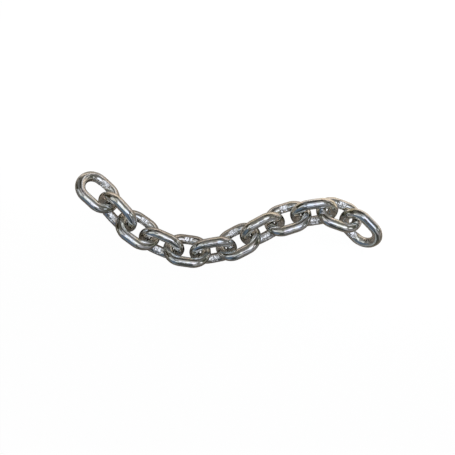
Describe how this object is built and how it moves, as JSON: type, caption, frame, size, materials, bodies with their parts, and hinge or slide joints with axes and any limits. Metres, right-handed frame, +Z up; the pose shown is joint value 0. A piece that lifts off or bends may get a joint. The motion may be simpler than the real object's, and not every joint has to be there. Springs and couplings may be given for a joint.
{
  "type": "round-link steel chain",
  "caption": "Short run of polished round-link steel chain lying in a loose S, its links leaning alternately left and right.",
  "frame": {"origin": "on the floor under the middle of the whole run's box", "axes": "+X along the run, from link_01's end to link_12's end; +Y to the left of it, towards link_01's side; +Z up from the floor it lies on"},
  "size_m": [0.2892, 0.0918, 0.0278],
  "materials": {
    "steel": "polished, with rough bright weld seams"
  },
  "bodies": {
    "link_01": {"link_01": "steel"},
    "link_02": {"link_02": "steel"},
    "link_03": {"link_03": "steel"},
    "link_04": {"link_04": "steel"},
    "link_05": {"link_05": "steel"},
    "link_06": {"link_06": "steel"},
    "link_07": {"link_07": "steel"},
    "link_08": {"link_08": "steel"},
    "link_09": {"link_09": "steel"},
    "link_10": {"link_10": "steel"},
    "link_11": {"link_11": "steel"},
    "link_12": {"link_12": "steel"}
  },
  "joints": [
    {"name": "link_02_swing", "type": "hinge", "parent": "link_01", "child": "link_02", "pos_m": [-0.11142, 0.01349, 0.01392], "axis": [-0.4912, -0.5086, 0.7071], "range_deg": [-75, 75]},
    {"name": "link_03_swing", "type": "hinge", "parent": "link_02", "child": "link_03", "pos_m": [-0.09459, -0.00655, 0.01392], "axis": [0.5337, 0.4639, 0.7071], "range_deg": [-75, 75]},
    {"name": "link_04_swing", "type": "hinge", "parent": "link_03", "child": "link_04", "pos_m": [-0.07315, -0.02133, 0.01392], "axis": [-0.4255, -0.5647, 0.7071], "range_deg": [-75, 75]},
    {"name": "link_05_swing", "type": "hinge", "parent": "link_04", "child": "link_05", "pos_m": [-0.04911, -0.03132, 0.01392], "axis": [-0.2988, -0.6409, -0.7071], "range_deg": [-75, 75]},
    {"name": "link_06_swing", "type": "hinge", "parent": "link_05", "child": "link_06", "pos_m": [-0.02328, -0.0339, 0.01392], "axis": [0.1106, 0.6984, -0.7071], "range_deg": [-75, 75]},
    {"name": "link_07_swing", "type": "hinge", "parent": "link_06", "child": "link_07", "pos_m": [0.00185, -0.02766, 0.01392], "axis": [-0.1228, 0.6964, 0.7071], "range_deg": [-75, 75]},
    {"name": "link_08_swing", "type": "hinge", "parent": "link_07", "child": "link_08", "pos_m": [0.02419, -0.0145, 0.01392], "axis": [0.321, -0.63, 0.7071], "range_deg": [-75, 75]},
    {"name": "link_09_swing", "type": "hinge", "parent": "link_08", "child": "link_09", "pos_m": [0.04728, -0.00212, 0.01392], "axis": [0.332, -0.6243, -0.7071], "range_deg": [-75, 75]},
    {"name": "link_10_swing", "type": "hinge", "parent": "link_09", "child": "link_10", "pos_m": [0.07248, 0.00453, 0.01392], "axis": [-0.2067, 0.6762, -0.7071], "range_deg": [-75, 75]},
    {"name": "link_11_swing", "type": "hinge", "parent": "link_10", "child": "link_11", "pos_m": [0.09842, 0.00735, 0.01392], "axis": [-0.0984, 0.7002, 0.7071], "range_deg": [-75, 60]},
    {"name": "link_12_swing", "type": "hinge", "parent": "link_11", "child": "link_12", "pos_m": [0.12149, -0.00395, 0.01392], "axis": [0.2418, 0.6645, -0.7071], "range_deg": [-75, 75]}
  ]
}
